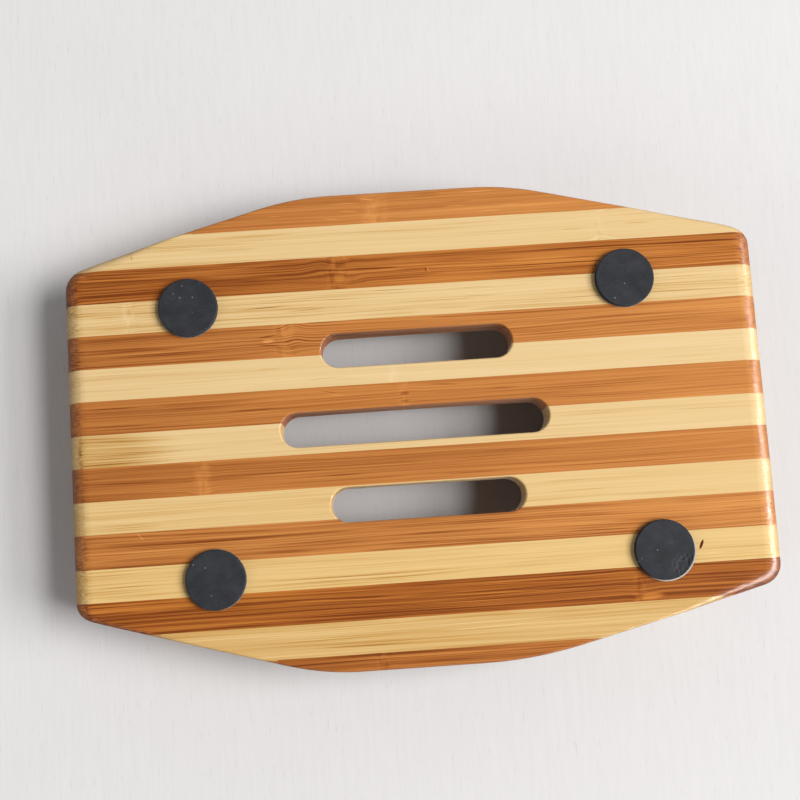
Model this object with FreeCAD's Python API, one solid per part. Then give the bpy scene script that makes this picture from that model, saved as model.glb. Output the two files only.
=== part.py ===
"""Soap dish of two-tone laminated bamboo, standing on four stick-on foam feet.

Strips of dark and pale bamboo are glued side by side into one board. Its top is scooped hollow for
the soap, its ends are rounded over, and three slots drain it.

Frame: millimetres, +Z up, X along the strips and Y across them, from front to back. The origin is on
the table, under the middle of the dish.
"""
import FreeCAD, Part

import math
import os

Vector = FreeCAD.Vector

# Board, seen from above. It is cut and sanded by eye, so its quarters differ a little. Each has a half width
# at the end, a distance from the middle to where its taper starts, a radius there, a radius at its upright
# corner, and a round of its rims beside that corner.
LENGTH = 131.8
WIDTH = 89.6
BACK_RIGHT = (33.38, 18.3, 80.0, 4.2, 3.0)
BACK_LEFT = (31.74, 20.5, 50.0, 3.4, 1.8)
FRONT_LEFT = (32.86, 21.4, 55.0, 4.2, 3.0)
FRONT_RIGHT = (33.28, 19.2, 55.0, 3.2, 1.4)

# Board, seen from the side: thick ends, and a scoop that runs out at both long sides
END_THICKNESS = 15.0
MIDDLE_THICKNESS = 7.0
SCOOP_RADIUS = 190.0
LIP_RADIUS = 15.0

# Edge rounds. Those beside the corners fade into the slight round of the sides from EASE_X inwards.
END_ROUND = 3.8
SIDE_ROUND = 0.5
SLOT_ROUND = 0.35
EASE_X = 44.0

# Strips, dark and pale by turns from front to back, with the pale middle one a little behind the centre
DARK_WIDTH = 6.35
LIGHT_WIDTH = 6.05
STRIP_COUNT = 15
MIDDLE_STRIP_Y = 1.4
BLUNT_TIP = 0.75

# Drain slots: centre x, centre y and length over the round ends
SLOT_WIDTH = 6.5
SLOTS = ((0.3, -14.75, 36.2), (-0.95, -0.2, 50.5), (0.6, 14.3, 36.3))

# Foam feet, each on a thin disc of adhesive. The last disc has slipped sideways under its foam.
PAD_DIAMETER = 11.2
PAD_THICKNESS = 1.0
PAD_EDGE_ROUND = 0.2
ADHESIVE_THICKNESS = 0.15
FEET = {
    "front_left": Vector(-42.2, -24.5, 0),
    "front_right": Vector(40.5, -25.1, 0),
    "back_left": Vector(-39.4, 26.4, 0),
    "back_right": Vector(43.4, 26.4, 0),
}
ADHESIVE_SLIP = {"back_right": Vector(0.35, 0.25, 0)}

UNDERSIDE = PAD_THICKNESS + ADHESIVE_THICKNESS
RIM = UNDERSIDE + END_THICKNESS
HOLLOW_FLOOR = UNDERSIDE + MIDDLE_THICKNESS
FLAT_X = LENGTH / 2 - END_ROUND
OVERLAP = 5.0
SAME = 1e-6


def line(start, end):
    """Straight edge between two points."""
    return Part.LineSegment(start, end).toShape()


def arc(start, middle, end):
    """Round edge through three points."""
    return Part.Arc(start, middle, end).toShape()


def rounded_prism(corners):
    """Upright prism, taller than the dish, whose plan has corners (x, y, radius) joined by straight runs."""
    points = [Vector(x, y, 0) for x, y, _ in corners]
    rounds = []
    for i, (_, _, radius) in enumerate(corners):
        if not radius:
            rounds.append((points[i], points[i], points[i]))
            continue
        back = (points[i - 1] - points[i]).normalize()
        ahead = (points[(i + 1) % len(points)] - points[i]).normalize()
        half_angle = back.getAngle(ahead) / 2
        reach = radius / math.tan(half_angle)
        inward = (back + ahead).normalize()
        middle = points[i] + inward * (radius / math.sin(half_angle) - radius)
        rounds.append((points[i] + back * reach, middle, points[i] + ahead * reach))
    edges = []
    for i, (start, middle, end) in enumerate(rounds):
        next_start = rounds[(i + 1) % len(rounds)][0]
        if start.distanceToPoint(end) > SAME:
            edges.append(arc(start, middle, end))
        if end.distanceToPoint(next_start) > SAME:
            edges.append(line(end, next_start))
    return Part.Face(Part.Wire(edges)).extrude(Vector(0, 0, RIM + OVERLAP))


def half_width(quarter, x):
    """Half width of a quarter's taper at a distance from the middle."""
    end_half_width, start_x, *_ = quarter
    share = (x - start_x) / (LENGTH / 2 - start_x)
    return WIDTH / 2 + share * (end_half_width - WIDTH / 2)


def outline_prism():
    """The dish's long sides, which taper towards both ends and run on past them."""

    def corners_of(side_x, side_y, quarter):
        _, start_x, radius, *_ = quarter
        shoulder = [(side_x * start_x, side_y * WIDTH / 2, radius)]
        seams = (EASE_X, (EASE_X + FLAT_X) / 2, LENGTH / 2 + OVERLAP)
        return shoulder + [(side_x * x, side_y * half_width(quarter, x), 0) for x in seams]

    corners = corners_of(1, 1, BACK_RIGHT)[::-1] + corners_of(-1, 1, BACK_LEFT)
    corners += corners_of(-1, -1, FRONT_LEFT)[::-1] + corners_of(1, -1, FRONT_RIGHT)
    return rounded_prism(corners)


def slot_prism(centre_x, centre_y, length):
    """One drain slot: straight sides and half-round ends."""
    corners = [
        (centre_x + side_x * length / 2, centre_y + side_y * SLOT_WIDTH / 2, SLOT_WIDTH / 2)
        for side_x, side_y in ((1, -1), (1, 1), (-1, 1), (-1, -1))
    ]
    return rounded_prism(corners)


def scooped_slab():
    """Slab with the dish's side profile: flat below, rounded ends, and a wide arc that rolls over into two lips."""
    scoop_centre = HOLLOW_FLOOR + SCOOP_RADIUS
    lip_centre = RIM - LIP_RADIUS
    lip_x = math.sqrt((SCOOP_RADIUS + LIP_RADIUS) ** 2 - (scoop_centre - lip_centre) ** 2)
    lean = math.asin(lip_x / (SCOOP_RADIUS + LIP_RADIUS))

    def on_scoop(angle):
        return Vector(SCOOP_RADIUS * math.sin(angle), 0, scoop_centre - SCOOP_RADIUS * math.cos(angle))

    def on_lip(side, angle):
        across = lip_x - LIP_RADIUS * math.sin(angle)
        return Vector(side * across, 0, lip_centre + LIP_RADIUS * math.cos(angle))

    def on_end(side, up, angle):
        across = LENGTH / 2 - END_ROUND * (1 - math.sin(angle))
        inset = END_ROUND * (1 - math.cos(angle))
        return Vector(side * across, 0, RIM - inset if up else UNDERSIDE + inset)

    quarter = math.pi / 2
    profile = [
        line(on_end(-1, False, 0), on_end(1, False, 0)),
        arc(on_end(1, False, 0), on_end(1, False, quarter / 2), on_end(1, False, quarter)),
        line(on_end(1, False, quarter), on_end(1, True, quarter)),
        arc(on_end(1, True, quarter), on_end(1, True, quarter / 2), on_end(1, True, 0)),
        line(on_end(1, True, 0), on_lip(1, 0)),
        arc(on_lip(1, 0), on_lip(1, lean / 2), on_scoop(lean)),
        arc(on_scoop(lean), on_scoop(0), on_scoop(-lean)),
        arc(on_scoop(-lean), on_lip(-1, lean / 2), on_lip(-1, 0)),
        line(on_lip(-1, 0), on_end(-1, True, 0)),
        arc(on_end(-1, True, 0), on_end(-1, True, quarter / 2), on_end(-1, True, quarter)),
        line(on_end(-1, True, quarter), on_end(-1, False, quarter)),
        arc(on_end(-1, False, quarter), on_end(-1, False, quarter / 2), on_end(-1, False, 0)),
    ]
    slab = Part.Face(Part.Wire(profile)).extrude(Vector(0, WIDTH + 2 * OVERLAP, 0))
    slab.translate(Vector(0, -WIDTH / 2 - OVERLAP, 0))
    return slab


def is_side(face):
    """True for an upright face of a long side or a slot, but not for the dish's ends."""
    low_u, high_u, low_v, high_v = face.ParameterRange
    normal = face.normalAt((low_u + high_u) / 2, (low_v + high_v) / 2)
    return abs(normal.z) < SAME and abs(normal.x) < 0.9


def round_at(point):
    """Round of a side's edge at a point: full on the upright corners, slight along the rims, least on the slots."""
    if abs(point.y) < min(BACK_LEFT[0], FRONT_LEFT[0]) - END_ROUND:
        return SLOT_ROUND
    left, right = (BACK_LEFT, BACK_RIGHT) if point.y > 0 else (FRONT_LEFT, FRONT_RIGHT)
    *_, corner_radius, corner_round = right if point.x > 0 else left
    if abs(point.x) > LENGTH / 2 - SAME:
        return corner_radius
    share = max(0, (abs(point.x) - EASE_X) / (FLAT_X - EASE_X))
    return SIDE_ROUND + share * (corner_round - SIDE_ROUND)


def round_sides(blank):
    """Round every edge that bounds a long side or a slot, easing from the corners into the rims."""
    document = FreeCAD.newDocument()
    plain = document.addObject("Part::Feature")
    plain.Shape = blank
    rounded = document.addObject("Part::Fillet")
    rounded.Base = plain
    rounds = []
    for number, edge in enumerate(blank.Edges, 1):
        sides = [face for face in blank.ancestorsOfType(edge, Part.Face) if is_side(face)]
        if len(sides) == 1:
            start = edge.valueAt(edge.FirstParameter)
            end = edge.valueAt(edge.LastParameter)
            rounds.append((number, round_at(start), round_at(end)))
    rounded.Edges = rounds
    document.recompute()
    return rounded.Shape.Solids[0]


def board():
    """The whole glued board: outline, scoop, slots and rounded edges."""
    blank = outline_prism().common(scooped_slab())
    for slot in SLOTS:
        blank = blank.cut(slot_prism(*slot))
    return round_sides(blank.Solids[0])


def taper_x(quarter, half_width_there):
    """Distance from the middle at which a quarter's taper has narrowed to a half width."""
    end_half_width, start_x, *_ = quarter
    share = (WIDTH / 2 - half_width_there) / (WIDTH / 2 - end_half_width)
    return start_x + share * (LENGTH / 2 - start_x)


def in_front_of(y):
    """Block of all that lies in front of the glue line at y.

    Where the line runs out through a taper, it turns off as soon as the outer strip is down to BLUNT_TIP
    wide, so that no strip ends in a feather edge.
    """
    left, right = (BACK_LEFT, BACK_RIGHT) if y > 0 else (FRONT_LEFT, FRONT_RIGHT)
    reach = LENGTH / 2 + OVERLAP
    plan = [(-reach, y), (reach, y)]
    if abs(y) > right[0]:
        outside = math.copysign(WIDTH, y)
        left_tip = -taper_x(left, abs(y) + BLUNT_TIP)
        right_tip = taper_x(right, abs(y) + BLUNT_TIP)
        plan = [(-reach, outside), (left_tip, outside), (left_tip, y)]
        plan += [(right_tip, y), (right_tip, outside), (reach, outside)]
    plan += [(reach, -2 * WIDTH), (-reach, -2 * WIDTH)]
    corners = [Vector(*point, 0) for point in plan]
    return Part.Face(Part.makePolygon(corners + corners[:1])).extrude(Vector(0, 0, RIM + OVERLAP))


def bamboo_strips():
    """The board sawn along its glue lines into strips, named by tone and numbered from the front."""
    widths = [LIGHT_WIDTH if i % 2 else DARK_WIDTH for i in range(STRIP_COUNT)]
    middle = STRIP_COUNT // 2
    glue_y = MIDDLE_STRIP_Y - widths[middle] / 2 - sum(widths[:middle])
    rest = board()
    strips = {}
    for i, width in enumerate(widths):
        glue_y += width
        block = in_front_of(glue_y)
        tone = "light" if i % 2 else "dark"
        strips[f"{tone}_strip_{i // 2 + 1}"] = rest.common(block).Solids[0]
        rest = rest.cut(block)
    return strips


def foot_pad(centre):
    """Foam disc with a slightly rounded lower edge."""
    pad = Part.makeCylinder(PAD_DIAMETER / 2, PAD_THICKNESS, centre)
    lower_edge = [edge for edge in pad.Edges if edge.BoundBox.ZMax < SAME]
    return pad.makeFillet(PAD_EDGE_ROUND, lower_edge)


def adhesive_disc(centre, slip):
    """Thin disc that sticks a pad to the board."""
    base = centre + slip + Vector(0, 0, PAD_THICKNESS)
    return Part.makeCylinder(PAD_DIAMETER / 2, ADHESIVE_THICKNESS, base)


def main():
    """Write every piece of the dish as a file of its own."""
    pieces = bamboo_strips()
    for place, centre in FEET.items():
        pieces[f"foot_pad_{place}"] = foot_pad(centre)
        pieces[f"adhesive_disc_{place}"] = adhesive_disc(centre, ADHESIVE_SLIP.get(place, Vector()))
    os.makedirs("parts", exist_ok=True)
    for name, solid in pieces.items():
        solid.exportStep(f"parts/{name}.step")
        print(f"{name}: {solid.Volume / 1000:.2f} cm3")


main()
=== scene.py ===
import math
from typing import NamedTuple

import bpy
import numpy as np
from bpy.props import FloatProperty, FloatVectorProperty, PointerProperty
from mathutils import Matrix, Vector


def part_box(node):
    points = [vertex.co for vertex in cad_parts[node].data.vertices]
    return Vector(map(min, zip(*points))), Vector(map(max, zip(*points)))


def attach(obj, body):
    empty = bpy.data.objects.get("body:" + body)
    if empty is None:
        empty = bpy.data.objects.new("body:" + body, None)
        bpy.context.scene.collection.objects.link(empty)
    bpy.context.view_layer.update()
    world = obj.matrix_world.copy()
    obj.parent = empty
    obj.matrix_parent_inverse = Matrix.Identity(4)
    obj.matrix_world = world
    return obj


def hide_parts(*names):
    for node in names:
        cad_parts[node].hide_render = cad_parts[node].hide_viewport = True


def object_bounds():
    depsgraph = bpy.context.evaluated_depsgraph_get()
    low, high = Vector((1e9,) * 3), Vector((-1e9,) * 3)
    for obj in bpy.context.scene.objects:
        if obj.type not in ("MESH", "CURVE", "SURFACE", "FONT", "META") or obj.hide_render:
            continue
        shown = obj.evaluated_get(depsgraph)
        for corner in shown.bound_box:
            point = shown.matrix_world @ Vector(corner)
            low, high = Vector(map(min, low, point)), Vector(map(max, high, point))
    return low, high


bl_info = {
    "name": "Bamboo soap dish",
    "version": (1, 0, 0),
    "blender": (4, 5, 0),
    "location": "View3D > Sidebar > Soap dish",
    "description": "Finishes a laminated bamboo soap dish and sets it in a pale studio",
    "category": "Object",
}

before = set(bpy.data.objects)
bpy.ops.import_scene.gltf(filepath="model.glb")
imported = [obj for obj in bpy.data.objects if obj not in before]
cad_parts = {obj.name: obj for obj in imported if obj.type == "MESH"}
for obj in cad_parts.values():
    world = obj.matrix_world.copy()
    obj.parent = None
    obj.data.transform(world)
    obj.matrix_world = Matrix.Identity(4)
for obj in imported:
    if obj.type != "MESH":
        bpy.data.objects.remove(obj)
CAD_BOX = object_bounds()

MM = 0.001
FEET = ("front_left", "front_right", "back_left", "back_right")
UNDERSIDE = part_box("light_strip_4")[0].z
RIM = CAD_BOX[1].z


class Knuckle(NamedTuple):
    """Joint of the bamboo cane, where the fibres turn wavy. Sizes are in millimetres."""

    x: float
    reach: float
    wave: float
    tone: float


class Mark(NamedTuple):
    """Single fibre mark on the underside, in millimetres and degrees, dark below zero and pale above."""

    x: float
    y: float
    length: float
    width: float
    tone: float
    tilt: float = 0.0


class Strip(NamedTuple):
    """What sets one strip apart.

    That is its tone and warmth, how strongly it is lined, its knuckle, its marks, and how far it leans paler
    from left to right, a painted sheen, as a share of what is usual for its kind.
    """

    tone: float
    warm: float
    lines: float
    knuckle: Knuckle | None = None
    marks: tuple = ()
    sheen_lean: float = 1.0


DARK_STRIPS = (
    Strip(0.03, 0.0, 0.35, Knuckle(-6.0, 9.0, 0.7, 0.12), (
        Mark(-7.5, -43.9, 5.0, 0.35, 0.35, 8),
        Mark(-11.7, -43.0, 7.0, 0.35, 0.25),
        Mark(-10.8, -41.4, 5.0, 0.35, 0.30, 5),
        Mark(-14.2, -40.0, 4.5, 0.30, 0.30, 8),
        Mark(-25.0, -41.2, 3.0, 0.30, 0.25),
        Mark(13.7, -43.75, 9.0, 0.35, 0.30),
        Mark(10.0, -42.1, 7.0, 0.30, -0.25),
        Mark(9.6, -41.3, 6.0, 0.30, 0.30),
        Mark(15.8, -40.0, 6.0, 0.30, 0.30),
        Mark(20.0, -40.9, 5.0, 0.30, 0.25),
        Mark(4.2, -43.7, 7.0, 1.6, -0.10),
    )),
    Strip(-0.16, 1.0, 0.9, Knuckle(-14.0, 8.0, 1.3, 0.0), (
        Mark(-47.5, -30.2, 22.0, 0.35, -0.30),
        Mark(-47.5, -29.5, 25.0, 0.30, 0.28),
        Mark(-35.0, -29.0, 22.0, 2.4, -0.10),
        Mark(-35.0, -31.8, 18.0, 0.35, -0.25),
        Mark(-6.7, -29.9, 12.0, 0.45, -0.35),
        Mark(0.8, -29.4, 10.0, 0.40, -0.30),
        Mark(3.0, -29.1, 1.1, 0.40, -0.45, 80),
        Mark(3.5, -29.1, 1.1, 0.35, 0.40, 80),
        Mark(30.0, -29.0, 55.0, 0.30, -0.30),
        Mark(30.0, -28.7, 55.0, 0.30, 0.22),
        Mark(56.0, -31.7, 15.0, 0.28, -0.30),
        Mark(56.0, -30.9, 16.0, 0.28, -0.25),
        Mark(35.0, -30.0, 50.0, 4.0, 0.12),
    )),
    Strip(-0.02, 0.1, 0.7, Knuckle(-24.5, 6.5, 1.2, 0.05), (
        Mark(-27.5, -17.4, 3.2, 1.3, 0.40),
        Mark(-27.5, -18.2, 5.0, 0.40, -0.35, -6),
        Mark(-27.5, -16.6, 5.0, 0.40, -0.35, 6),
        Mark(-18.0, -20.0, 12.0, 0.45, -0.25),
        Mark(6.7, -20.0, 10.0, 0.40, -0.30),
        Mark(40.0, -17.8, 42.0, 0.28, -0.28),
        Mark(40.0, -16.3, 42.0, 0.28, -0.22),
        Mark(36.0, -15.2, 36.0, 0.28, -0.22),
        Mark(-51.7, -17.2, 22.0, 0.40, -0.28),
        Mark(-48.0, -16.5, 25.0, 0.35, -0.22),
    )),
    Strip(0.0, 0.15, 0.45, Knuckle(-2.7, 4.0, 0.8, 0.05), (
        Mark(-57.5, -6.5, 14.0, 0.40, -0.32),
        Mark(-55.8, -3.3, 16.0, 0.40, -0.30),
        Mark(-50.0, -2.6, 26.0, 0.35, -0.28),
        Mark(-30.8, -4.8, 12.0, 0.35, -0.28),
        Mark(-30.8, -4.4, 12.0, 0.30, 0.20),
        Mark(-16.7, -7.0, 4.0, 0.35, -0.25, 12),
        Mark(-15.4, -6.4, 5.0, 0.35, 0.25, 8),
        Mark(5.0, -7.3, 8.0, 0.45, -0.32, 4),
        Mark(15.8, -5.8, 8.0, 0.35, -0.25),
        Mark(29.0, -4.7, 25.0, 0.30, -0.22),
        Mark(36.0, -3.3, 30.0, 0.32, -0.28),
        Mark(38.0, -4.2, 24.0, 0.28, 0.20),
        Mark(-2.5, -5.6, 2.4, 1.0, -0.25),
        Mark(-2.5, -4.4, 2.4, 0.8, -0.25),
    )),
    Strip(-0.05, 0.15, 0.4, Knuckle(-41.0, 5.0, 1.0, 0.14), (
        Mark(-25.0, 7.9, 22.0, 0.30, 0.22),
        Mark(-25.0, 7.6, 22.0, 0.30, -0.22),
        Mark(-15.0, 8.8, 10.0, 0.38, -0.28),
        Mark(9.0, 9.9, 16.0, 0.38, -0.26),
        Mark(36.7, 9.8, 34.0, 0.38, -0.28),
        Mark(15.8, 5.8, 14.0, 0.32, -0.18),
        Mark(11.0, 6.9, 16.0, 0.32, -0.18),
        Mark(-54.0, 7.85, 16.0, 0.50, -0.15),
    )),
    Strip(0.05, 0.05, 0.85, None, (
        Mark(-43.3, 19.3, 40.0, 0.35, -0.32),
        Mark(-35.0, 19.6, 36.0, 0.30, 0.22),
        Mark(-47.5, 19.85, 30.0, 0.32, -0.30),
        Mark(-52.0, 22.0, 25.0, 0.50, -0.30),
        Mark(-18.0, 19.0, 20.0, 0.32, -0.22),
        Mark(6.7, 20.8, 26.0, 0.45, -0.22),
        Mark(-5.8, 22.2, 20.0, 0.38, -0.28),
        Mark(31.7, 21.9, 20.0, 0.35, -0.28),
        Mark(36.0, 22.5, 24.0, 0.35, -0.28),
        Mark(57.5, 19.3, 8.0, 0.30, -0.22),
        Mark(-52.9, 17.8, 2.5, 0.40, 0.35, 50),
    )),
    Strip(-0.27, 1.5, 0.9, Knuckle(38.5, 4.5, 1.1, 0.02), (
        Mark(-18.3, 31.5, 40.0, 0.30, 0.34, 0.8),
        Mark(-18.3, 31.1, 40.0, 0.35, -0.28, 0.8),
        Mark(15.0, 32.1, 34.0, 0.32, 0.38, 1.5),
        Mark(15.0, 31.7, 34.0, 0.35, -0.25, 1.5),
        Mark(5.0, 33.2, 30.0, 0.30, 0.32, 1.0),
        Mark(19.0, 30.6, 34.0, 0.30, 0.28, 2.0),
        Mark(-35.0, 33.2, 40.0, 0.40, -0.35),
        Mark(-10.0, 34.6, 50.0, 0.40, -0.35),
        Mark(0.0, 35.0, 40.0, 0.35, -0.30),
        Mark(30.0, 29.8, 16.0, 0.35, -0.25),
        Mark(55.0, 31.4, 18.0, 3.2, -0.10),
        Mark(40.2, 34.7, 6.5, 1.8, 0.45),
    ), -0.1),
    Strip(-0.17, 0.6, 0.6, Knuckle(-9.6, 5.0, 0.5, 0.0), (
        Mark(-3.3, 42.0, 54.0, 1.1, -0.24),
        Mark(-3.0, 42.75, 46.0, 0.32, 0.28),
        Mark(0.0, 44.0, 24.0, 0.60, -0.12),
    )),
)

PALE_STRIPS = (
    Strip(0.02, 0.0, 0.35, Knuckle(36.5, 4.5, 1.5, 0.05), (
        Mark(-35.0, -35.2, 22.0, 0.9, -0.18),
        Mark(-29.0, -37.7, 20.0, 1.0, -0.12),
        Mark(2.5, -37.1, 30.0, 0.6, -0.14),
        Mark(-35.0, -36.0, 20.0, 0.6, 0.15),
        Mark(44.0, -35.7, 8.0, 0.5, -0.22),
        Mark(31.7, -35.3, 6.0, 0.4, -0.14),
        Mark(-52.5, -34.8, 1.8, 0.3, -0.35, 75),
    )),
    Strip(-0.04, 0.0, 0.75, Knuckle(-53.6, 3.5, 0.5, 0.06), (
        Mark(-28.3, -23.7, 14.0, 0.32, -0.28, -2),
        Mark(-20.0, -22.9, 10.0, 0.32, -0.28, -2),
        Mark(-14.0, -24.5, 10.0, 0.30, -0.18),
        Mark(-4.0, -25.7, 10.0, 0.30, -0.18),
        Mark(13.3, -23.8, 12.0, 0.32, -0.24),
        Mark(11.0, -25.4, 14.0, 0.30, -0.18),
        Mark(25.8, -22.8, 14.0, 0.30, -0.18),
        Mark(6.7, -21.5, 12.0, 0.30, -0.18),
        Mark(-57.5, -23.7, 7.0, 0.30, -0.18),
        Mark(52.0, -25.0, 16.0, 0.36, -0.12),
    )),
    Strip(0.05, -0.1, 0.2, Knuckle(-4.5, 3.0, 0.3, 0.10), (
        Mark(-16.7, -9.45, 12.0, 0.30, -0.28, -2),
        Mark(-13.3, -9.0, 8.0, 0.30, -0.22),
        Mark(-29.0, -9.0, 6.0, 0.30, -0.18),
        Mark(-27.5, -11.9, 6.0, 0.30, -0.14),
        Mark(50.8, -9.4, 16.0, 0.8, -0.12),
    )),
    Strip(0.02, 0.0, 0.3, None, (
        Mark(-50.0, -0.3, 22.0, 0.8, -0.08),
        Mark(-47.5, 2.0, 26.0, 0.8, -0.09),
        Mark(-50.0, 0.5, 24.0, 0.5, 0.12),
        Mark(51.7, 0.3, 18.0, 0.36, -0.10),
        Mark(-60.0, 1.4, 34.0, 16.0, -0.26),
    )),
    Strip(-0.03, 0.3, 0.25, None, (
        Mark(-55.0, 15.1, 14.0, 0.30, -0.22),
        Mark(-54.0, 15.6, 14.0, 0.30, -0.20),
        Mark(-55.0, 16.1, 13.0, 0.30, -0.18),
        Mark(25.8, 12.6, 14.0, 0.36, -0.14),
        Mark(28.0, 14.7, 16.0, 0.36, -0.14),
    )),
    Strip(-0.02, 0.75, 0.5, None, (
        Mark(-56.0, 26.6, 16.0, 0.32, -0.20),
        Mark(-56.0, 27.4, 16.0, 0.32, -0.18),
        Mark(-56.0, 28.3, 16.0, 0.32, -0.18),
        Mark(-18.0, 26.3, 34.0, 0.36, -0.14),
        Mark(-18.0, 27.1, 34.0, 0.32, -0.18),
        Mark(-10.0, 27.75, 40.0, 0.36, -0.20),
        Mark(-18.0, 28.4, 36.0, 0.36, -0.15),
        Mark(-5.0, 27.4, 30.0, 0.30, 0.14),
        Mark(56.7, 27.75, 10.0, 0.36, -0.22),
        Mark(50.5, 25.9, 2.3, 0.8, -1.6, -66),
    )),
    Strip(-0.17, 0.5, 0.3, None, (
        Mark(10.8, 37.4, 30.0, 0.32, 0.30, -1.0),
        Mark(-22.0, 37.6, 26.0, 0.32, 0.18),
        Mark(10.8, 38.3, 26.0, 0.30, 0.24, -1.6),
        Mark(-22.0, 38.5, 22.0, 0.30, 0.14),
        Mark(-14.0, 40.1, 20.0, 0.5, -0.10),
    )),
)


class BambooSettings(bpy.types.PropertyGroup):
    """Colours and finish of the lacquered bamboo."""

    dark: FloatVectorProperty(
        name="Dark bamboo", description="Main colour of the carbonised strips", subtype="COLOR", size=3,
        min=0, max=1, default=(0.530, 0.194, 0.045))
    pale: FloatVectorProperty(
        name="Pale bamboo", description="Main colour of the natural strips", subtype="COLOR", size=3,
        min=0, max=1, default=(0.80, 0.562, 0.264))
    fibre_depth: FloatProperty(
        name="Fibre depth", description="How far the grain stands up under the lacquer", unit="LENGTH",
        subtype="DISTANCE", min=0, precision=6, default=0.02 * MM)


class FootSettings(bpy.types.PropertyGroup):
    """Shape and colours of the stick-on feet."""

    foam: FloatVectorProperty(
        name="Foam", description="Main colour of the foam", subtype="COLOR", size=3,
        min=0, max=1, default=(0.025, 0.026, 0.031))
    film: FloatVectorProperty(
        name="Adhesive", description="Main colour of the adhesive film", subtype="COLOR", size=3,
        min=0, max=1, default=(0.62, 0.57, 0.52))
    cut: FloatProperty(
        name="Uneven cut", description="How far the die-cut rim wanders from a true circle", unit="LENGTH",
        subtype="DISTANCE", min=0, precision=6, default=0.03 * MM)
    tear: FloatProperty(
        name="Tear depth", description="How deep the scuffed foot is torn", unit="LENGTH",
        subtype="DISTANCE", min=0, precision=6, default=0.22 * MM)


class StageSettings(bpy.types.PropertyGroup):
    """Floor and light."""

    floor: FloatVectorProperty(
        name="Floor", description="Colour of the floor", subtype="COLOR", size=3,
        min=0, max=1, default=(0.80, 0.788, 0.794))
    key_power: FloatProperty(
        name="Key power", description="Power of the two lamps beside the dish", unit="POWER",
        min=0, default=47.5)
    key_distance: FloatProperty(
        name="Key distance", description="From the dish to the key lamps", unit="LENGTH",
        subtype="DISTANCE", min=0.1, default=2.0)
    key_size: FloatProperty(
        name="Key size", description="Width of the key lamps", unit="LENGTH",
        subtype="DISTANCE", min=0, default=1.3)
    key_tilt: FloatProperty(
        name="Key tilt", description="Angle between the key lamps' middle and the underside's normal",
        subtype="ANGLE", default=math.radians(45))
    key_bearing: FloatProperty(
        name="Key bearing", description="Direction of the key lamps in plan, from +X towards +Y",
        subtype="ANGLE", default=math.radians(6))
    glint_power: FloatProperty(
        name="Glint power", description="Power of the thin lamp that glints in the lacquer", unit="POWER",
        min=0, default=160.0)
    sky: FloatProperty(
        name="Sky", description="Radiance that the levels of the sky are shares of", min=0, default=0.80)
    top_sun: FloatProperty(
        name="Top sun", description="Strength of the sun on the dish's hollow", min=0, default=3.0)


class Nodes:
    """Shorthand for a node tree, emptied at the start."""

    def __init__(self, tree):
        self.nodes = tree.nodes
        self.links = tree.links
        self.nodes.clear()

    def node(self, kind, *inputs, **settings):
        """Adds a node, sets it, and feeds its inputs in order, each a value, a socket or None to leave it."""
        node = self.nodes.new(kind)
        for key, value in settings.items():
            setattr(node, key, value)
        for socket, value in zip(node.inputs, inputs):
            self.feed(socket, value)
        return node

    def feed(self, socket, value):
        """Links a socket, or sets a plain value."""
        if isinstance(value, bpy.types.NodeSocket):
            self.links.new(value, socket)
        elif value is not None:
            socket.default_value = value

    def math(self, operation, *inputs):
        """Arithmetic on numbers."""
        return self.node("ShaderNodeMath", *inputs, operation=operation).outputs[0]

    def ramp(self, value, stops):
        """Colour that changes evenly from stop to stop, each a position and a colour."""
        node = self.node("ShaderNodeValToRGB", value)
        elements = node.color_ramp.elements
        while len(elements) < len(stops):
            elements.new(0.5)
        for element, (position, colour) in zip(elements, stops):
            element.position = position
            element.color = (*colour, 1.0)
        return node.outputs[0]


class Shader(Nodes):
    """Shorthand for a material's node tree."""

    def __init__(self, name):
        self.material = bpy.data.materials.new(name)
        self.material.use_nodes = True
        super().__init__(self.material.node_tree)

    def millimetres(self):
        """Object coordinates in millimetres."""
        coordinates = self.node("ShaderNodeTexCoord").outputs["Object"]
        scaled = self.node("ShaderNodeVectorMath", coordinates, operation="SCALE")
        scaled.inputs["Scale"].default_value = 1 / MM
        return scaled.outputs[0]

    def noise(self, vector, cell, shift, detail=1.0):
        """Noise from 0 to 1 whose cells have a size along X, Y and Z in millimetres."""
        scale = [1 / size for size in cell]
        placed = self.node("ShaderNodeMapping", vector, (shift, 1.7 * shift, 2.3 * shift), (0, 0, 0), scale)
        noise = self.node("ShaderNodeTexNoise", placed.outputs[0])
        noise.inputs["Scale"].default_value = 1.0
        noise.inputs["Detail"].default_value = detail
        return noise.outputs[0]

    def ease(self, value, low, high, to_low=0.0, to_high=1.0):
        """Smooth step from one value to another."""
        inputs = (value, low, high, to_low, to_high)
        return self.node("ShaderNodeMapRange", *inputs, interpolation_type="SMOOTHSTEP").outputs[0]

    def mix(self, share, first, second):
        """Colour between two colours."""
        node = self.node("ShaderNodeMix", share, data_type="RGBA")
        self.feed(node.inputs[6], first)
        self.feed(node.inputs[7], second)
        return node.outputs[2]

    def bump(self, height, distance):
        """Surface normal of a height from 0 to 1, which stands for a distance in metres."""
        node = self.node("ShaderNodeBump")
        node.inputs["Strength"].default_value = 1.0
        node.inputs["Distance"].default_value = distance
        self.feed(node.inputs["Height"], height)
        return node.outputs[0]

    def surface(self, **inputs):
        """Principled surface with named inputs, as the material's output."""
        shader = self.node("ShaderNodeBsdfPrincipled")
        for name, value in inputs.items():
            self.feed(shader.inputs[name.replace("_", " ")], value)
        output = self.node("ShaderNodeOutputMaterial")
        self.links.new(shader.outputs[0], output.inputs["Surface"])
        return self.material


def shade(colour, light, powers=(1.0, 1.0, 1.0)):
    """Colour made lighter or darker, where green and blue may fall off faster than red."""
    return tuple(min(1.0, value * light ** power) for value, power in zip(colour, powers))


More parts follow.
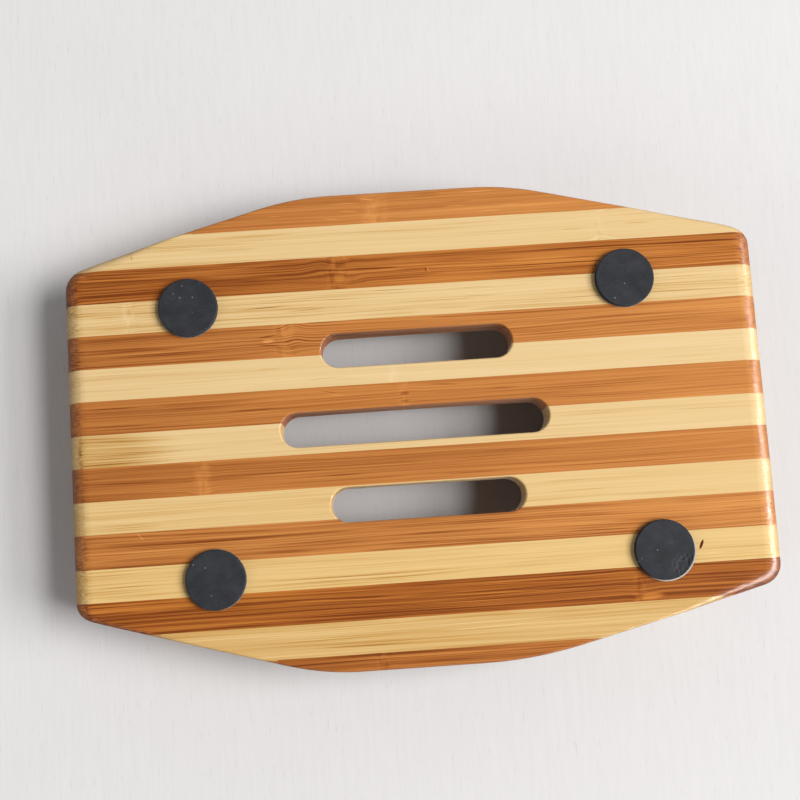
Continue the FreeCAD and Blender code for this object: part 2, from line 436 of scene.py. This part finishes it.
# What one step of warmth takes from red, green and blue
WARMTH = (0.0, 0.06, 0.25)

# Distance in millimetres over which a strip gets paler by its kind's lean, a painted sheen towards +X
SHEEN_LEAN_LENGTH = 65.0

# Millimetres that fibres wander at most, and that they wave at a strong knuckle
WANDER = 1.5
KNUCKLE_WAVE = 2.3

# Share of a knuckle's reach that is streaked across
KNUCKLE_HEART = 0.45

# A mark fades towards its rim. It is drawn narrower and stronger than given, and this many millimetres deep.
MARK_NARROW = 1.3
MARK_STRONG = 1.1
MARK_DEPTH = 1.0

# Width in millimetres over which a strip's colour gives way to its neighbour's
GLUE_LINE = 0.12

# Weight of the lacquer's gloss, and the share of it that soap and water have worn off the top
LACQUER = 0.45
WASHED_OFF = 0.8


class Bamboo(NamedTuple):
    """One kind of bamboo: its colour, its stops of tone and light, how the channels fall off, its contrast.

    It leans paler from left to right, a painted sheen, and apart from single marks its tone never falls below
    the least one.
    """

    colour: tuple
    lights: tuple
    powers: tuple
    contrast: float
    sheen_lean: float
    least: float

    def stops(self, warm):
        """Colours from dark to pale, warmer where asked."""
        base = [value * (1 - loss * warm) for value, loss in zip(self.colour, WARMTH)]
        return [(at, shade(base, light, self.powers)) for at, light in self.lights]


def dark_bamboo():
    """Carbonised bamboo."""
    lights = ((0.0, 0.36), (0.25, 0.68), (0.5, 1.0), (0.75, 1.25), (1.0, 1.5))
    return Bamboo(bpy.context.scene.soap_dish_bamboo.dark, lights, (1.0, 1.45, 1.9), 1.2, 0.13, 0.0)


def pale_bamboo():
    """Natural bamboo."""
    lights = ((0.0, 0.10), (0.1, 0.48), (0.25, 0.78), (0.5, 1.0), (0.75, 1.07), (1.0, 1.12))
    return Bamboo(bpy.context.scene.soap_dish_bamboo.pale, lights, (1.0, 1.7, 3.2), 0.95, 0.04, 0.2)


def add_marks(s, fibres, tone, marks):
    """Tone with single marks, each an ellipse that lies along the fibres and fades towards its rim."""
    for mark in marks:
        centre = (mark.x, mark.y + WANDER / 2, UNDERSIDE / MM)
        turn = (0.0, 0.0, math.radians(mark.tilt))
        size = (mark.length / 2, mark.width / (2 * MARK_NARROW), MARK_DEPTH)
        inside = s.node("ShaderNodeMapping", fibres, centre, turn, size, vector_type="TEXTURE").outputs[0]
        away = s.node("ShaderNodeVectorMath", inside, operation="LENGTH").outputs["Value"]
        tone = s.math("ADD", tone, s.ease(away, 1.0, 0.3, 0.0, MARK_STRONG * mark.tone))
    return tone


def bamboo_material(name, strip, number, bamboo, beyond, fibre_depth):
    """Lacquered bamboo of one strip.

    A tone from 0, dark, to 1, pale, is added up from noises drawn out along the fibres, from thin lines
    where such noises peak, from the strip's knuckle, which bends the fibres and streaks them across, and
    from its single marks. A colour range then turns the tone into a colour. Beyond a given glue line the
    neighbour's range takes over, so that its thin tip runs out to a point.
    """
    s = Shader(name)
    place = s.millimetres()
    shift = 13.7 * number
    x, y, z = s.node("ShaderNodeSeparateXYZ", place).outputs
    knuckle = strip.knuckle

    # Fibres wander a little everywhere, and much more at a knuckle
    meander = s.noise(place, (55.0, 6.0, 7.0), shift + 3.1)
    bent = s.math("MULTIPLY_ADD", meander, WANDER, y)
    if knuckle:
        curl = s.math("SUBTRACT", s.noise(place, (6.5, 3.0, 3.0), shift + 5.9, 0.5), 0.5)
        off = s.math("ABSOLUTE", s.math("SUBTRACT", x, knuckle.x))
        near = s.ease(off, knuckle.reach, 0.0)
        wave = s.math("MULTIPLY", near, KNUCKLE_WAVE * knuckle.wave)
        bent = s.math("ADD", bent, s.math("MULTIPLY", curl, wave))
    fibres = s.node("ShaderNodeCombineXYZ", x, bent, z).outputs[0]

    # Grain: broad bands, streaks, and lines where a noise peaks
    broad = s.noise(fibres, (60.0, 2.4, 3.0), shift + 1.0)
    streak = s.noise(fibres, (60.0, 0.40, 0.6), shift + 7.0, 2.0)
    fine = s.noise(fibres, (26.0, 0.22, 0.3), shift + 9.0, 2.0)
    patches = s.ease(s.noise(place, (20.0, 1.5, 3.0), shift + 15.0), 0.34, 0.58)
    long_lines = s.ease(s.noise(fibres, (95.0, 0.28, 0.5), shift + 11.0, 0.0), 0.56, 0.66)
    long_lines = s.math("MULTIPLY", long_lines, patches)
    short_lines = s.ease(s.noise(fibres, (30.0, 0.22, 0.4), shift + 17.0, 0.0), 0.57, 0.68)
    pale_lines = s.ease(s.noise(fibres, (60.0, 0.28, 0.5), shift + 19.0, 0.0), 0.57, 0.68)

    # Sides and ends are made darker than the flat faces: painted shade where walls and end rounds turn from
    # the light, and end grain that is darker of itself
    facing = s.node("ShaderNodeSeparateXYZ", s.node("ShaderNodeNewGeometry").outputs["Normal"]).outputs
    upright = s.ease(s.math("ABSOLUTE", facing[2]), 0.5, 0.2)
    across_fibres = s.math("ABSOLUTE", facing[0])
    painted_end_shade = s.ease(across_fibres, 0.15, 0.35)
    end_grain_and_shade = s.ease(across_fibres, 0.6, 0.95)

    contrast = bamboo.contrast * (0.6 + 0.5 * strip.lines)
    lining = contrast * (0.4 + strip.lines)
    weights = (
        (broad, 0.40 * contrast),
        (streak, 0.34 * contrast),
        (fine, 0.38 * contrast),
        # Painted sheen: paler towards +X, the side of the key lamps
        (x, strip.sheen_lean * bamboo.sheen_lean / SHEEN_LEAN_LENGTH),
        (long_lines, -0.18 * lining),
        (short_lines, -0.13 * lining),
        (pale_lines, 0.13 * contrast),
        # Painted shade: sides and slot walls darker than the flat faces
        (upright, -0.14),
        # Painted shade: the end rounds darker, as where they turn from the light
        (painted_end_shade, -0.09),
        # Darker end grain, partly the wood's own and partly painted shade on the slot ends
        (end_grain_and_shade, -0.04),
    )
    tone = 0.5 + strip.tone - 0.51 * contrast
    for pattern, weight in weights:
        tone = s.math("MULTIPLY_ADD", pattern, weight, tone)
    if knuckle:
        across = s.noise(fibres, (1.1, 2.2, 2.0), shift + 21.0)
        across = s.math("MULTIPLY_ADD", across, 0.6 * contrast, knuckle.tone - 0.3 * contrast)
        heart = s.ease(off, KNUCKLE_HEART * knuckle.reach, 0.0)
        tone = s.math("MULTIPLY_ADD", across, heart, tone)
    tone = s.math("MAXIMUM", tone, bamboo.least)
    tone = add_marks(s, fibres, tone, strip.marks)

    colour = s.ramp(tone, bamboo.stops(strip.warm))
    if beyond:
        line, outward, neighbour = beyond
        over = s.ease(y, line / MM, line / MM + GLUE_LINE * outward)
        other = s.ramp(s.math("MAXIMUM", tone, neighbour.least), neighbour.stops(0.0))
        colour = s.mix(over, colour, other)

    height = s.math("MULTIPLY_ADD", streak, 0.6, s.math("MULTIPLY", fine, 0.5))
    height = s.math("MULTIPLY_ADD", long_lines, -0.4, height)
    speck = s.noise(place, (0.3, 0.3, 0.3), shift + 25.0, 2.0)
    gloss = s.math("MULTIPLY_ADD", upright, -LACQUER, LACQUER)
    left_on_top = s.math("MULTIPLY_ADD", s.ease(facing[2], 0.1, 0.3), -WASHED_OFF, 1.0)
    return s.surface(
        Base_Color=colour,
        Roughness=s.math("MULTIPLY_ADD", upright, 0.5, s.math("MULTIPLY_ADD", streak, 0.16, 0.40)),
        Specular_IOR_Level=0.2,
        Normal=s.bump(height, fibre_depth),
        Coat_Weight=s.math("MULTIPLY", left_on_top, gloss),
        Coat_Roughness=0.06,
        Coat_Normal=s.bump(s.math("MULTIPLY_ADD", height, 0.3, speck), 5 * fibre_depth),
    )


def finish_strips(prefix, strips, bamboo, beyond):
    """Gives each strip of one kind its own bamboo, all within the same range of colours."""
    fibre_depth = bpy.context.scene.soap_dish_bamboo.fibre_depth
    for number, strip in enumerate(strips, 1):
        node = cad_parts[f"{prefix}_strip_{number}"]
        seed = number if prefix == "dark" else number + len(DARK_STRIPS)
        name = f"{prefix}_bamboo_{number}"
        material = bamboo_material(name, strip, seed, bamboo, beyond.get(number), fibre_depth)
        node.data.materials.clear()
        node.data.materials.append(material)


class SOAPDISH_OT_dark_strips(bpy.types.Operator):
    """Finish the dark strips of carbonised bamboo"""

    bl_idname = "soap_dish.dark_strips"
    bl_label = "Finish dark strips"

    def execute(self, context):
        beyond = {7: (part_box("light_strip_7")[0].y, 1, pale_bamboo())}
        finish_strips("dark", DARK_STRIPS, dark_bamboo(), beyond)
        return {"FINISHED"}


class SOAPDISH_OT_pale_strips(bpy.types.Operator):
    """Finish the pale strips of natural bamboo"""

    bl_idname = "soap_dish.pale_strips"
    bl_label = "Finish pale strips"

    def execute(self, context):
        dark = dark_bamboo()
        beyond = {1: (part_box("dark_strip_1")[1].y, -1, dark), 7: (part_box("dark_strip_8")[0].y, 1, dark)}
        finish_strips("light", PALE_STRIPS, pale_bamboo(), beyond)
        return {"FINISHED"}


def closed_surface(name, rings, low_pole, high_pole):
    """Mesh of closed rings of points, joined in order and capped by a point at each end."""
    count, around, _ = rings.shape
    points = np.concatenate((rings.reshape(-1, 3), [low_pole, high_pole]))
    here = np.arange(around)
    after = np.roll(here, -1)
    start = np.arange(count - 1)[:, None] * around
    quads = np.stack((start + here, start + around + here, start + around + after, start + after), axis=-1)
    low = np.stack((np.full(around, count * around), here, after), axis=-1)
    last = (count - 1) * around
    high = np.stack((np.full(around, count * around + 1), last + after, last + here), axis=-1)
    mesh = bpy.data.meshes.new(name)
    mesh.from_pydata(points.tolist(), [], quads.reshape(-1, 4).tolist() + low.tolist() + high.tolist())
    mesh.polygons.foreach_set("use_smooth", np.ones(len(mesh.polygons), bool))
    mesh.set_sharp_from_angle(angle=math.radians(50))
    mesh.update()
    return mesh


# Die-cut feet: radius of the edge, rings on the face, the edge and the wall, and points round each ring
FOOT_EDGE = 0.22 * MM
FACE_RINGS = 40
EDGE_RINGS = 7
WALL_RINGS = 5
POINTS_AROUND = 220

# How the cut wanders: waves round the rim, their height and their turn
CUT_WAVES = ((2, 1.0, 1.0), (3, 0.6, 2.1), (7, 0.35, 3.7))

# The tear's direction in radians, and its place and size along and across it, in shares of the radius
TEAR_BEARING = 0.75
TEAR_PLACE = (0.80, 0.02)
TEAR_SIZE = (0.30, 0.34)


def foam_foot(name, low, high, cut, tear, turn):
    """Die-cut foam disc.

    A profile of face, rounded edge, wall and hidden back is carried round the middle. The radius wanders by
    a few sines of the angle. Where the foot is torn, the face sinks under a lopsided bell with ragged
    ripples.
    """
    middle = (low + high) / 2
    radius = (high.x - low.x) / 2 - cut
    thickness = high.z - low.z
    bend = np.linspace(0, np.pi / 2, EDGE_RINGS + 1)[1:]
    back = np.array([0.7, 0.4, 0.1])
    reach = np.concatenate((
        np.linspace(0.02, 1, FACE_RINGS) * (radius - FOOT_EDGE),
        radius - FOOT_EDGE + FOOT_EDGE * np.sin(bend),
        np.full(WALL_RINGS, radius),
        back * radius,
    ))
    rise = np.concatenate((
        np.zeros(FACE_RINGS),
        FOOT_EDGE * (1 - np.cos(bend)),
        np.linspace(FOOT_EDGE, thickness, WALL_RINGS + 1)[1:],
        np.full(len(back), thickness),
    ))
    angle = np.linspace(0, 2 * np.pi, POINTS_AROUND, endpoint=False)
    wander = sum(share * np.sin(count * angle + phase * turn) for count, share, phase in CUT_WAVES)
    wander = wander / sum(share for _, share, _ in CUT_WAVES)
    out = reach[:, None] * (1 + cut * wander[None, :] / radius)
    across = out * np.cos(angle)
    along = out * np.sin(angle)
    up = np.repeat(rise[:, None], len(angle), axis=1)
    if tear:
        far = (across * np.cos(TEAR_BEARING) + along * np.sin(TEAR_BEARING)) / radius
        side = (along * np.cos(TEAR_BEARING) - across * np.sin(TEAR_BEARING)) / radius
        off_far = (far - TEAR_PLACE[0]) / TEAR_SIZE[0]
        off_side = (side - TEAR_PLACE[1]) / TEAR_SIZE[1]
        bell = np.exp(-off_far ** 2 - off_side ** 2)
        lengthwise = np.sin(31 * far + 2 * np.sin(11 * side))
        crosswise = np.sin(19 * side - 7 * far + 2 * np.sin(9 * far))
        ragged = 1 + 0.35 * lengthwise * crosswise
        up = np.maximum(up, np.minimum(tear * np.clip(1.5 * bell * ragged - 0.2, 0, 1), thickness))
    rings = np.stack((middle.x + across, middle.y + along, low.z + up), axis=-1)
    return closed_surface(name, rings, (middle.x, middle.y, low.z), (middle.x, middle.y, high.z))


def foam_material(colour):
    """Matte closed-cell foam: uneven dark grey, rubbed pale in places, with a few dust specks."""
    s = Shader("foot_foam")
    place = s.millimetres()
    cloud = s.noise(place, (2.6, 2.6, 2.6), 1.0, 3.0)
    cells = s.noise(place, (0.16, 0.16, 0.16), 2.0, 2.0)
    rub = s.ease(s.noise(place, (1.9, 0.5, 2.0), 4.0, 3.0), 0.60, 0.74)
    dots = s.node("ShaderNodeTexVoronoi", place, voronoi_dimensions="2D")
    dots.inputs["Scale"].default_value = 0.36
    dust = s.ease(dots.outputs["Distance"], 0.075, 0.03)
    dust = s.math("MULTIPLY", dust, s.ease(s.noise(place, (2.0, 2.0, 2.0), 5.0), 0.48, 0.62))
    tone = s.math("MULTIPLY_ADD", cloud, 0.45, s.math("MULTIPLY", cells, 0.30))
    tone = s.math("MULTIPLY_ADD", rub, 0.10, tone)
    tone = s.math("MULTIPLY_ADD", dust, 0.55, tone)
    stops = [(0.0, 0.45), (0.33, 1.0), (0.6, 1.9), (1.0, 8.0)]
    return s.surface(
        Base_Color=s.ramp(tone, [(at, shade(colour, light)) for at, light in stops]),
        Roughness=s.math("MULTIPLY_ADD", cells, 0.2, 0.68),
        Specular_IOR_Level=0.25,
        Normal=s.bump(cells, 0.05 * MM),
    )


class SOAPDISH_OT_foot_pads(bpy.types.Operator):
    """Make the four foam feet"""

    bl_idname = "soap_dish.foot_pads"
    bl_label = "Make foam feet"

    def execute(self, context):
        feet = context.scene.soap_dish_feet
        foam = foam_material(feet.foam)
        for turn, place in enumerate(FEET, 1):
            node = f"foot_pad_{place}"
            name = f"foam_foot_{place}"
            tear = feet.tear if place == "back_right" else 0.0
            mesh = foam_foot(name, *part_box(node), feet.cut, tear, 1.3 * turn)
            mesh.materials.append(foam)
            foot = bpy.data.objects.new(name, mesh)
            context.scene.collection.objects.link(foot)
            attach(foot, "root")
            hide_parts(node)
        return {"FINISHED"}


def film_material(colour):
    """White adhesive film, faintly mottled, darkened on its cut edge as painted shade between foot and board.
    """
    s = Shader("adhesive_film")
    place = s.millimetres()
    mottle = s.noise(place, (0.8, 0.8, 0.8), 3.0, 2.0)
    normal = s.node("ShaderNodeNewGeometry").outputs["True Normal"]
    level = s.math("ABSOLUTE", s.node("ShaderNodeSeparateXYZ", normal).outputs[2])
    # Painted shade: the cut edge between foot and board is darkened
    edge = s.ease(level, 0.8, 0.2)
    tone = s.math("MULTIPLY_ADD", edge, -0.8, s.math("MULTIPLY_ADD", mottle, 0.4, 0.4))
    stops = [(0.0, shade(colour, 0.08)), (0.5, shade(colour, 0.85)), (0.8, tuple(colour))]
    return s.surface(
        Base_Color=s.ramp(tone, stops),
        Roughness=s.math("MULTIPLY_ADD", mottle, 0.2, 0.4),
        Normal=s.bump(mottle, 0.02 * MM),
    )


class SOAPDISH_OT_adhesive_discs(bpy.types.Operator):
    """Finish the adhesive discs under the feet"""

    bl_idname = "soap_dish.adhesive_discs"
    bl_label = "Finish adhesive discs"

    def execute(self, context):
        film = film_material(context.scene.soap_dish_feet.film)
        for place in FEET:
            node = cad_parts[f"adhesive_disc_{place}"]
            node.data.materials.clear()
            node.data.materials.append(film)
        return {"FINISHED"}


# Half of the floors' side, in metres
FLOOR_HALF = 4.0

# Share of later lamp rays that the floor under the standing dish lets through
STANDING_LEAK = 0.12

# Directions of the lamps from the dish
FILL_FROM = Vector((-0.76, 0.46, -0.46))
GLINT_FROM = Vector((0.86, 0.43, -0.27))
SUN_FROM = Vector((0.06, -0.04, 1.0))

# Degrees by which the two key lamps are tilted apart from their middle, and the height of each for its width
KEY_APART = 9
KEY_HEIGHT = 0.45

# The fill lamp is this many times weaker than the key lamps
FILL_WEAKER = 16

# Sizes of the other lamps, in metres and degrees
FILL_SIZE = 1.0
GLINT_SIZE = (2.6, 0.22)
SUN_ANGLE = 25

# Colours of the lamps
KEY_COLOUR = (1.0, 0.985, 0.965)
FILL_COLOUR = (1.0, 0.97, 0.93)

# Sky: light from straight down (0) over the horizon (0.5) to straight up (1)
SKY_LEVELS = (
    (0.0, 0.10), (0.14, 0.13), (0.22, 0.42), (0.34, 0.72),
    (0.42, 0.72), (0.5, 0.25), (0.8, 0.22), (1.0, 0.22),
)
SKY_TINT = (0.97, 0.98, 1.0, 1.0)

# The background that is seen: its level, and how low it reaches
SEEN_LEVEL = 0.9
SEEN_FROM = -0.1


def one_sided_floor(name, z, facing, colour, leak):
    """Square floor, level at a height and seen only from the side that it faces, up (1) or down (-1).

    The first matte bounce and the lamps' rays to what the camera sees pass it as if it weren't there. Of the
    lamps' rays beyond that, only a small share leaks through.
    """
    signs = ((-1, -1), (1, -1), (1, 1), (-1, 1))
    corners = [(FLOOR_HALF * side_x, FLOOR_HALF * side_y, z) for side_x, side_y in signs]
    mesh = bpy.data.meshes.new(name)
    mesh.from_pydata(corners, [], [(0, 1, 2, 3)[::facing]])
    floor = bpy.data.objects.new(name, mesh)
    bpy.context.scene.collection.objects.link(floor)
    s = Shader(name)
    place = s.millimetres()
    cloud = s.noise(place, (70.0, 45.0, 50.0), 6.0, 2.0)
    brushed = s.noise(place, (0.6, 9.0, 5.0), 8.0, 3.0)
    scratch = s.ease(s.noise(place, (0.35, 3.5, 5.0), 12.0, 1.0), 0.64, 0.76)
    tone = s.math("MULTIPLY_ADD", cloud, 0.4, s.math("MULTIPLY", brushed, 0.6))
    tone = s.math("MULTIPLY_ADD", scratch, -0.35, tone)
    stops = [(0.0, shade(colour, 0.90)), (0.35, shade(colour, 0.975)), (0.7, shade(colour, 1.02))]
    matte = s.node("ShaderNodeBsdfDiffuse", s.ramp(tone, stops)).outputs[0]
    clear = s.node("ShaderNodeBsdfTransparent").outputs[0]
    hidden = s.node("ShaderNodeNewGeometry").outputs["Backfacing"]
    ray = s.node("ShaderNodeLightPath").outputs
    first = s.math("COMPARE", ray["Ray Depth"], 1.0, 0.5)
    matte_first = s.math("SUBTRACT", first, ray["Is Glossy Ray"])
    later = s.math("MULTIPLY", ray["Is Shadow Ray"], s.math("GREATER_THAN", ray["Ray Depth"], 1.5))
    hidden = s.math("MAXIMUM", hidden, matte_first)
    hidden = s.math("MULTIPLY_ADD", later, s.math("SUBTRACT", leak, hidden), hidden)
    mixed = s.node("ShaderNodeMixShader", hidden, matte, clear).outputs[0]
    s.node("ShaderNodeOutputMaterial", mixed)
    mesh.materials.append(s.material)
    return floor


def aim(obj, place, towards):
    """Puts a lamp in its place, facing a point."""
    obj.location = place
    obj.rotation_mode = "QUATERNION"
    obj.rotation_quaternion = (towards - place).to_track_quat("-Z", "Y")


def add_lamp(name, kind, energy):
    """Lamp that the camera doesn't see."""
    data = bpy.data.lights.new(name, kind)
    data.energy = energy
    lamp = bpy.data.objects.new(name, data)
    lamp.visible_camera = False
    bpy.context.scene.collection.objects.link(lamp)
    return lamp


def add_sky(level):
    """Pale surroundings, brightest a little below the horizon, and dark behind the camera and overhead.

    What the camera, a gloss or a glass sees above the horizon is the plain pale background.
    """
    world = bpy.data.worlds.new("pale_studio")
    bpy.context.scene.world = world
    world.use_nodes = True
    s = Nodes(world.node_tree)
    direction = s.node("ShaderNodeTexCoord").outputs["Generated"]
    up = s.node("ShaderNodeSeparateXYZ", direction).outputs[2]
    share = s.node("ShaderNodeMapRange", up, -1.0, 1.0).outputs[0]
    light = s.ramp(share, [(at, (value, value, value)) for at, value in SKY_LEVELS])
    light = s.math("MULTIPLY", light, level)
    ray = s.node("ShaderNodeLightPath").outputs
    seen = s.math("MAXIMUM", ray["Is Camera Ray"], ray["Is Glossy Ray"])
    seen = s.math("MAXIMUM", seen, ray["Is Transmission Ray"])
    seen = s.math("MULTIPLY", seen, s.math("GREATER_THAN", up, SEEN_FROM))
    strength = s.node("ShaderNodeMix", seen, None, light, SEEN_LEVEL).outputs[0]
    background = s.node("ShaderNodeBackground", SKY_TINT, strength).outputs[0]
    s.node("ShaderNodeOutputWorld", background)


def add_camera():
    """Camera of the photograph, which looks at the underside."""
    right = Vector((0.99767, 0.06666, -0.01489))
    down = Vector((-0.06442, 0.99079, 0.11915))
    ahead = Vector((0.02270, -0.11791, 0.99277))
    looked_at = Vector((-3.51 * MM, -4.60 * MM, UNDERSIDE))
    distance = 224.883 * MM
    data = bpy.data.cameras.new("photo_camera")
    data.lens = 54.0
    data.sensor_width = 36.0
    data.clip_start = 0.01
    data.clip_end = 20.0
    camera = bpy.data.objects.new("photo_camera", data)
    bpy.context.scene.collection.objects.link(camera)
    turn = Matrix((right, -down, -ahead)).transposed()
    camera.matrix_world = Matrix.LocRotScale(looked_at - distance * ahead, turn.to_quaternion(), None)
    bpy.context.scene.camera = camera


class SOAPDISH_OT_stage(bpy.types.Operator):
    """Set up the floors, the light and the camera"""

    bl_idname = "soap_dish.stage"
    bl_label = "Set up the stage"

    def execute(self, context):
        stage = context.scene.soap_dish_stage
        context.scene.view_settings.view_transform = "Standard"

        # The dish lies face down on one floor in the photograph, and stands on the other in use
        one_sided_floor("face_down_floor", RIM, -1, stage.floor, 0.0)
        standing = one_sided_floor("standing_floor", 0.0, 1, stage.floor, STANDING_LEAK)
        standing.visible_diffuse = False
        standing.visible_glossy = False
        standing.visible_transmission = False

        middle = Vector((0.0, 0.0, UNDERSIDE))
        flat = Vector((math.cos(stage.key_bearing), math.sin(stage.key_bearing), 0.0))
        for name, off in (("key_lamp_high", -KEY_APART), ("key_lamp_low", KEY_APART)):
            tilt = stage.key_tilt + math.radians(off)
            key = add_lamp(name, "AREA", stage.key_power / 2)
            key.data.shape = "ELLIPSE"
            key.data.size = stage.key_size
            key.data.size_y = KEY_HEIGHT * stage.key_size
            key.data.color = KEY_COLOUR
            towards = flat * math.sin(tilt) - Vector((0, 0, math.cos(tilt)))
            aim(key, middle + stage.key_distance * towards, middle)
            key.visible_glossy = False

        fill = add_lamp("fill_lamp", "AREA", stage.key_power / FILL_WEAKER)
        fill.data.shape = "DISK"
        fill.data.size = FILL_SIZE
        fill.data.color = FILL_COLOUR
        fill.visible_glossy = False
        aim(fill, middle + stage.key_distance * FILL_FROM, middle)

        # A long thin lamp, which shows only as a glint in the lacquer
        glint = add_lamp("glint_lamp", "AREA", stage.glint_power)
        glint.data.shape = "RECTANGLE"
        glint.data.size, glint.data.size_y = GLINT_SIZE
        glint.visible_diffuse = False
        aim(glint, middle + stage.key_distance * GLINT_FROM, middle)

        sun = add_lamp("top_sun", "SUN", stage.top_sun)
        sun.data.angle = math.radians(SUN_ANGLE)
        aim(sun, SUN_FROM, Vector((0.0, 0.0, 0.0)))
        add_sky(stage.sky)
        add_camera()
        return {"FINISHED"}


class SOAPDISH_PT_pieces(bpy.types.Panel):
    """Lists the pieces of the dish"""

    bl_label = "Soap dish"
    bl_idname = "SOAPDISH_PT_pieces"
    bl_space_type = "VIEW_3D"
    bl_region_type = "UI"
    bl_category = "Soap dish"

    def draw(self, context):
        scene = context.scene
        groups = (
            (scene.soap_dish_bamboo, (SOAPDISH_OT_dark_strips, SOAPDISH_OT_pale_strips)),
            (scene.soap_dish_feet, (SOAPDISH_OT_foot_pads, SOAPDISH_OT_adhesive_discs)),
            (scene.soap_dish_stage, (SOAPDISH_OT_stage,)),
        )
        for settings, operators in groups:
            box = self.layout.box()
            for name in settings.__annotations__:
                box.prop(settings, name)
            for operator in operators:
                box.operator(operator.bl_idname)


OPERATORS = (
    SOAPDISH_OT_dark_strips,
    SOAPDISH_OT_pale_strips,
    SOAPDISH_OT_foot_pads,
    SOAPDISH_OT_adhesive_discs,
    SOAPDISH_OT_stage,
)
SETTINGS = {
    "soap_dish_bamboo": BambooSettings,
    "soap_dish_feet": FootSettings,
    "soap_dish_stage": StageSettings,
}
CLASSES = (*SETTINGS.values(), *OPERATORS, SOAPDISH_PT_pieces)


def register():
    """Register the classes and hang the settings on the scene."""
    for cls in CLASSES:
        bpy.utils.register_class(cls)
    for name, cls in SETTINGS.items():
        setattr(bpy.types.Scene, name, PointerProperty(type=cls))


def unregister():
    """Take the settings and the classes off again."""
    for name in SETTINGS:
        delattr(bpy.types.Scene, name)
    for cls in reversed(CLASSES):
        bpy.utils.unregister_class(cls)


def main():
    """Build the whole dish."""
    register()
    bpy.ops.soap_dish.dark_strips()
    bpy.ops.soap_dish.pale_strips()
    bpy.ops.soap_dish.foot_pads()
    bpy.ops.soap_dish.adhesive_discs()
    bpy.ops.soap_dish.stage()


if __name__ == "__main__":
    main()
